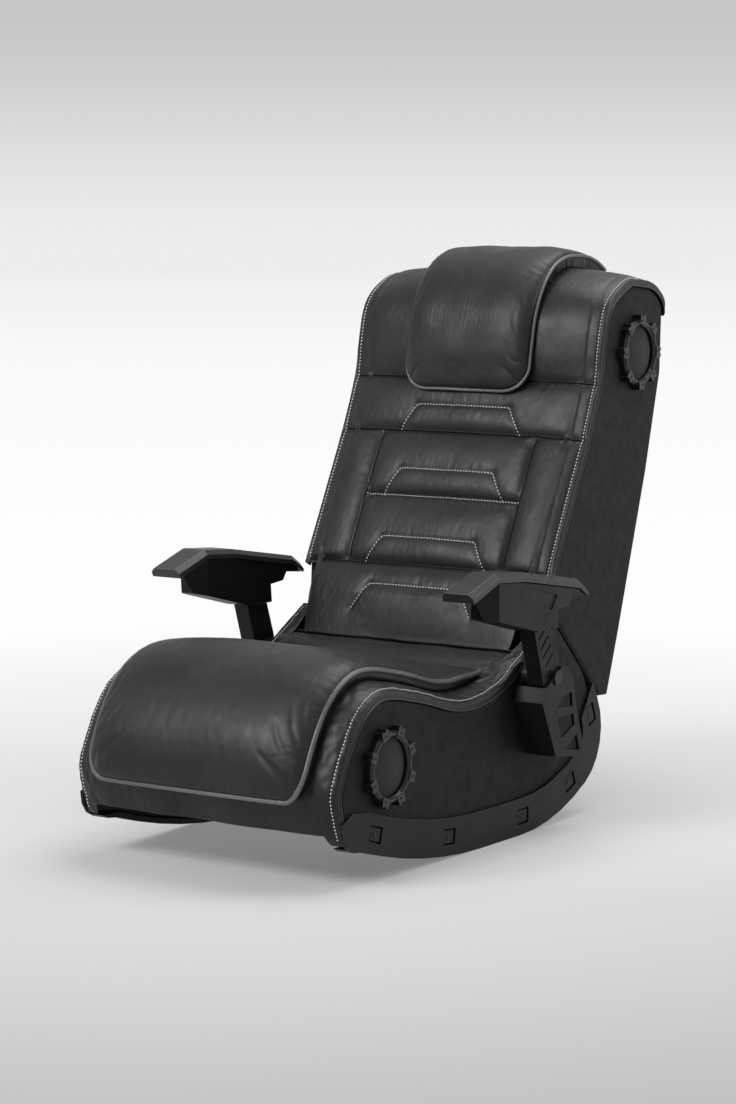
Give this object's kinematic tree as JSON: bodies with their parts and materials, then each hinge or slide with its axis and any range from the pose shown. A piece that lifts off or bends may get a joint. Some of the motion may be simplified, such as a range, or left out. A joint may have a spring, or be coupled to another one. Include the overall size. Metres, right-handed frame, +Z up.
{
  "type": "gaming rocker chair",
  "caption": "Floor rocker chair in black padded leather with a folding speaker backrest, headrest pillow, hung seat pad, flip-up arms and curved rocker rails.",
  "frame": {"origin": "middle of the bounding box's footprint, on the floor that the rocker rails' flat lands stand on", "axes": "+Z up; the sitter faces -Y; +X is the sitter's left"},
  "size_m": [0.619, 1.04, 0.9291],
  "materials": {
    "seat_leather": "soft black bonded leather with fine creases",
    "pad_leather": "soft black bonded leather with grey piping",
    "back_leather": "soft black bonded leather with pale stitching",
    "pillow_leather": "soft black bonded leather, gathered at the sides",
    "side_vinyl": "matte black vinyl on a padded panel",
    "rail_plastic": "satin charcoal, fine grain",
    "bracket_plastic": "matte charcoal, fine grain",
    "arm_plastic": "matte charcoal, fine grain",
    "arm_pad": "matte charcoal, soft to the touch",
    "speaker_bezel": "dark gunmetal gloss",
    "grille_cloth": "black acoustic cloth",
    "driver_plastic": "black basket and cone",
    "control_plastic": "matte black moulding",
    "knob_plastic": "satin black moulding",
    "board": "raw plywood",
    "steel": "zinc-plated"
  },
  "bodies": {
    "base": {"rocker_rail_left": "rail_plastic", "rocker_rail_right": "rail_plastic", "seat_side_left": "side_vinyl", "seat_side_right": "side_vinyl", "seat_rear_panel": "side_vinyl", "base_board": "board", "front_board": "board", "seat_deck": "board", "rear_board": "board", "seat_foam": "seat_leather", "seat_pad": "pad_leather", "arm_bracket_left": "bracket_plastic", "arm_bracket_right": "bracket_plastic", "arm_pivot_pin_left": "steel", "arm_pivot_pin_right": "steel", "hinge_leaf_seat_left": "steel", "hinge_leaf_seat_right": "steel", "fold_pin_left": "steel", "fold_pin_right": "steel", "seat_speaker_ring_left": "speaker_bezel", "seat_speaker_ring_right": "speaker_bezel", "seat_speaker_grille_left": "grille_cloth", "seat_speaker_grille_right": "grille_cloth", "seat_speaker_driver_left": "driver_plastic", "seat_speaker_driver_right": "driver_plastic", "control_plate": "control_plastic", "amplifier": "control_plastic", "seat_border_left": "seat_leather", "seat_border_right": "seat_leather"},
    "backrest": {"back_side_left": "side_vinyl", "back_side_right": "side_vinyl", "back_board": "board", "bass_driver": "driver_plastic", "rear_cover": "side_vinyl", "back_foot_board": "board", "back_cushion": "back_leather", "headrest_pillow": "pillow_leather", "hinge_leaf_back_left": "steel", "hinge_leaf_back_right": "steel", "back_speaker_ring_left": "speaker_bezel", "back_speaker_ring_right": "speaker_bezel", "back_speaker_grille_left": "grille_cloth", "back_speaker_grille_right": "grille_cloth", "back_speaker_driver_left": "driver_plastic", "back_speaker_driver_right": "driver_plastic", "back_border_left": "back_leather", "back_border_right": "back_leather"},
    "arm_left": {"arm_frame_left": "arm_plastic", "arm_pad_left": "arm_pad"},
    "arm_right": {"arm_frame_right": "arm_plastic", "arm_pad_right": "arm_pad"},
    "volume_knob": {"volume_knob": "knob_plastic"},
    "bass_knob": {"bass_knob": "knob_plastic"},
    "power_button": {"power_button": "knob_plastic"}
  },
  "joints": [
    {"name": "backrest_fold", "type": "hinge", "parent": "base", "child": "backrest", "pos_m": [0, 0.15014, 0.34], "axis": [1, 0, 0], "range_deg": [0, 95]},
    {"name": "arm_left_flip", "type": "hinge", "parent": "base", "child": "arm_left", "pos_m": [0.2735, 0.06514, 0.258], "axis": [1, 0, 0], "range_deg": [-90, 0]},
    {"name": "arm_right_flip", "type": "hinge", "parent": "base", "child": "arm_right", "pos_m": [-0.2735, 0.06514, 0.258], "axis": [1, 0, 0], "range_deg": [-90, 0]},
    {"name": "volume_turn", "type": "hinge", "parent": "base", "child": "volume_knob", "pos_m": [-0.248, -0.11586, 0.1343], "axis": [1, 0, 0], "range_deg": [0, 300]},
    {"name": "bass_turn", "type": "hinge", "parent": "base", "child": "bass_knob", "pos_m": [-0.248, -0.14586, 0.1343], "axis": [1, 0, 0], "range_deg": [0, 300]},
    {"name": "power_press", "type": "slide", "parent": "base", "child": "power_button", "axis": [1, 0, 0], "range_m": [0, 0.003], "stiffness_N_per_m": 300}
  ]
}
